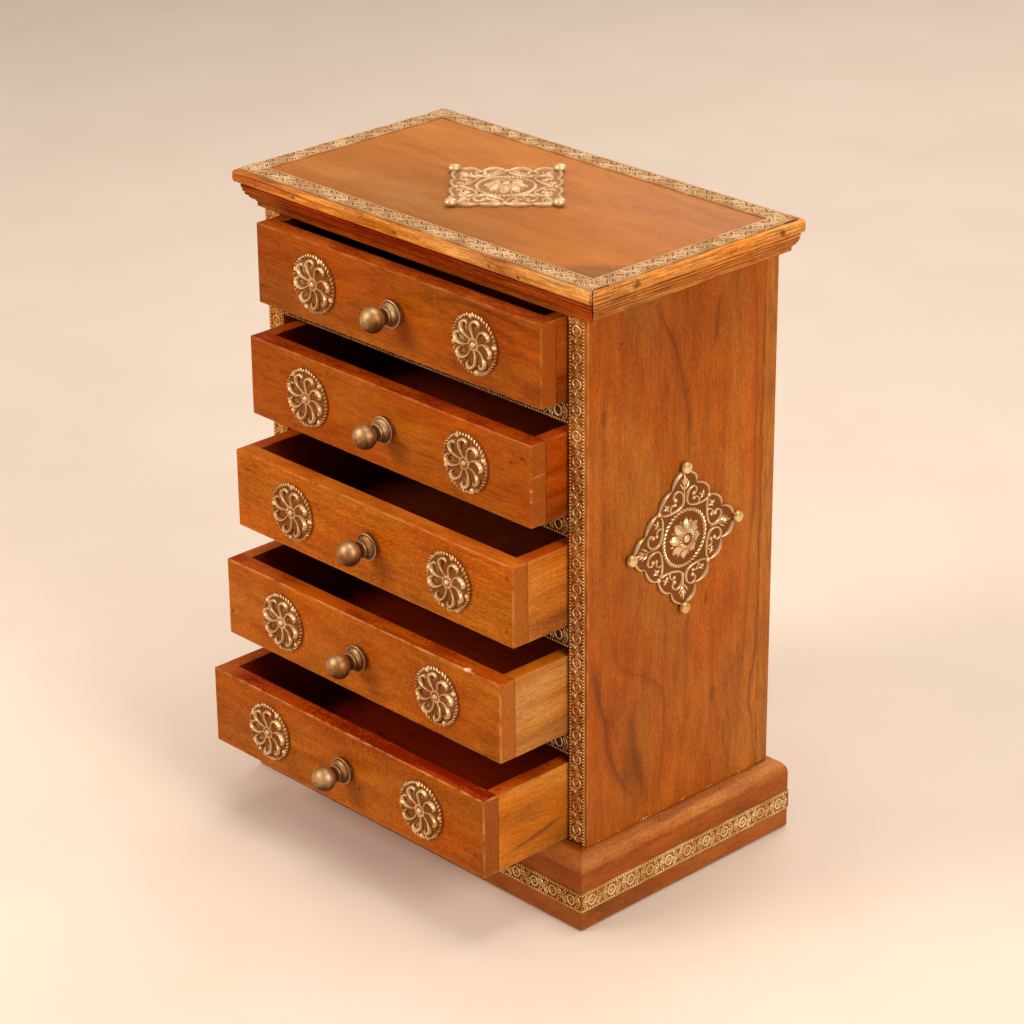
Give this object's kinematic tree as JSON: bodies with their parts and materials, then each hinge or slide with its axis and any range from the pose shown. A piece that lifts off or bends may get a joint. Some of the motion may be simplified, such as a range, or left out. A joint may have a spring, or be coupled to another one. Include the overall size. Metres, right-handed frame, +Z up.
{
  "type": "chest of drawers",
  "caption": "Table-top wooden chest with sliding drawers on a plinth, a moulded top, pressed brass strips, rosettes, square ornaments and ball knobs.",
  "frame": {"origin": "middle of the plinth's underside", "axes": "+Z is up, the drawers open towards -Y, +X is to the right as seen from the front"},
  "size_m": [0.2286, 0.1942, 0.3045],
  "materials": {
    "plinth_wood": "polished",
    "side_wood": "polished",
    "back_wood": "satin",
    "divider_wood": "satin",
    "top_wood": "polished",
    "moulding_wood": "polished",
    "drawer_front_wood": "polished",
    "drawer_side_wood": "satin",
    "drawer_inside_wood": "matte",
    "strip_brass": "aged, pressed",
    "ornament_brass": "aged, pressed",
    "rosette_brass": "aged, pressed",
    "knob_brass": "antique brown"
  },
  "bodies": {
    "case": {"plinth": "plinth_wood", "plinth_band": "strip_brass", "side_left": "side_wood", "side_right": "side_wood", "back_panel": "back_wood", "divider_1": "divider_wood", "divider_2": "divider_wood", "divider_3": "divider_wood", "divider_4": "divider_wood", "front_strip_left": "strip_brass", "front_strip_right": "strip_brass", "top_board": "top_wood", "moulding_front": "moulding_wood", "moulding_left": "moulding_wood", "moulding_right": "moulding_wood", "top_border": "strip_brass", "ornament_top": "ornament_brass", "ornament_left": "ornament_brass", "ornament_right": "ornament_brass"},
    "drawer_1": {"drawer_1_front": "drawer_front_wood", "drawer_1_side_left": "drawer_side_wood", "drawer_1_side_right": "drawer_side_wood", "drawer_1_back": "drawer_inside_wood", "drawer_1_bottom": "drawer_inside_wood", "drawer_1_knob": "knob_brass", "drawer_1_rosette_left": "rosette_brass", "drawer_1_rosette_right": "rosette_brass"},
    "drawer_2": {"drawer_2_front": "drawer_front_wood", "drawer_2_side_left": "drawer_side_wood", "drawer_2_side_right": "drawer_side_wood", "drawer_2_back": "drawer_inside_wood", "drawer_2_bottom": "drawer_inside_wood", "drawer_2_knob": "knob_brass", "drawer_2_rosette_left": "rosette_brass", "drawer_2_rosette_right": "rosette_brass"},
    "drawer_3": {"drawer_3_front": "drawer_front_wood", "drawer_3_side_left": "drawer_side_wood", "drawer_3_side_right": "drawer_side_wood", "drawer_3_back": "drawer_inside_wood", "drawer_3_bottom": "drawer_inside_wood", "drawer_3_knob": "knob_brass", "drawer_3_rosette_left": "rosette_brass", "drawer_3_rosette_right": "rosette_brass"},
    "drawer_4": {"drawer_4_front": "drawer_front_wood", "drawer_4_side_left": "drawer_side_wood", "drawer_4_side_right": "drawer_side_wood", "drawer_4_back": "drawer_inside_wood", "drawer_4_bottom": "drawer_inside_wood", "drawer_4_knob": "knob_brass", "drawer_4_rosette_left": "rosette_brass", "drawer_4_rosette_right": "rosette_brass"},
    "drawer_5": {"drawer_5_front": "drawer_front_wood", "drawer_5_side_left": "drawer_side_wood", "drawer_5_side_right": "drawer_side_wood", "drawer_5_back": "drawer_inside_wood", "drawer_5_bottom": "drawer_inside_wood", "drawer_5_knob": "knob_brass", "drawer_5_rosette_left": "rosette_brass", "drawer_5_rosette_right": "rosette_brass"}
  },
  "joints": [
    {"name": "drawer_1_slide", "type": "slide", "parent": "case", "child": "drawer_1", "axis": [0, -1, 0], "range_m": [-0.0151, 0.0629]},
    {"name": "drawer_2_slide", "type": "slide", "parent": "case", "child": "drawer_2", "axis": [0, -1, 0], "range_m": [-0.0213, 0.0567]},
    {"name": "drawer_3_slide", "type": "slide", "parent": "case", "child": "drawer_3", "axis": [0, -1, 0], "range_m": [-0.0323, 0.0457]},
    {"name": "drawer_4_slide", "type": "slide", "parent": "case", "child": "drawer_4", "axis": [0, -1, 0], "range_m": [-0.0404, 0.0376]},
    {"name": "drawer_5_slide", "type": "slide", "parent": "case", "child": "drawer_5", "axis": [0, -1, 0], "range_m": [-0.0509, 0.0271]}
  ]
}
